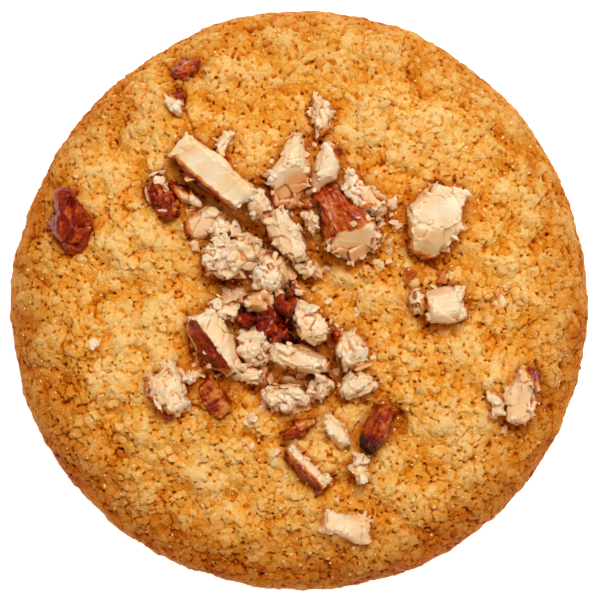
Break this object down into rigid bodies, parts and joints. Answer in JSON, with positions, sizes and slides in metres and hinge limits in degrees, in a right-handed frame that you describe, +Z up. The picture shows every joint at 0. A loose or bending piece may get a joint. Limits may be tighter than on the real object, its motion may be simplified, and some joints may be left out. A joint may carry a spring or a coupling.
{
  "type": "butter almond cookie",
  "caption": "Round golden butter cookie with a crumbly domed top, a browned rim, a flat underside and chopped skin-on almonds baked into the top.",
  "frame": {"origin": "middle of the flat underside, on the surface that the cookie lies on", "axes": "+Z up through the thickness, +X and +Y across the round top, with +Y towards the side where the long almond slab lies"},
  "size_m": [0.07, 0.07, 0.0162],
  "materials": {
    "baked_dough": "matt golden baked crumb, browner at the rim",
    "almond_flesh": "satin ivory cut almond",
    "almond_skin": "satin red-brown almond skin"
  },
  "bodies": {
    "root": {"cookie": "baked_dough", "almond_slab": "almond_flesh", "almond_slab_tip": "almond_flesh", "almond_roof": "almond_flesh", "almond_ridge": "almond_flesh", "almond_round": "almond_flesh", "almond_red_side": "almond_skin", "almond_middle": "almond_flesh", "almond_crumbly_left": "almond_flesh", "almond_crumbly_right": "almond_flesh", "almond_shard": "almond_flesh", "almond_back": "almond_flesh", "almond_peak": "almond_flesh", "almond_button": "almond_flesh", "almond_flecked": "almond_skin", "almond_under_slab": "almond_flesh", "almond_shaded": "almond_flesh", "almond_curl": "almond_flesh", "almond_square": "almond_flesh", "almond_wedge": "almond_flesh", "almond_right": "almond_flesh", "almond_right_flake": "almond_flesh", "almond_leaf": "almond_flesh", "almond_jagged": "almond_flesh", "almond_red_low": "almond_skin", "almond_red_upright": "almond_skin", "almond_red_fold": "almond_skin", "almond_pink": "almond_flesh", "almond_flat": "almond_flesh", "almond_striped_edge": "almond_flesh", "almond_star": "almond_flesh", "almond_torn": "almond_flesh", "almond_lump": "almond_flesh", "almond_ribbed": "almond_skin", "almond_red_sliver": "almond_skin", "almond_petal": "almond_flesh", "almond_dark_tip": "almond_skin", "almond_tooth": "almond_flesh", "almond_split": "almond_flesh", "almond_tile": "almond_flesh", "almond_knot": "almond_skin", "almond_rim_flake": "almond_skin", "almond_buried": "almond_flesh", "almond_shelf": "almond_flesh", "almond_torn_right": "almond_flesh", "almond_bit": "almond_flesh", "almond_amber": "almond_flesh", "almond_pink_bit": "almond_flesh", "almond_half_buried": "almond_flesh"}
  },
  "joints": []
}
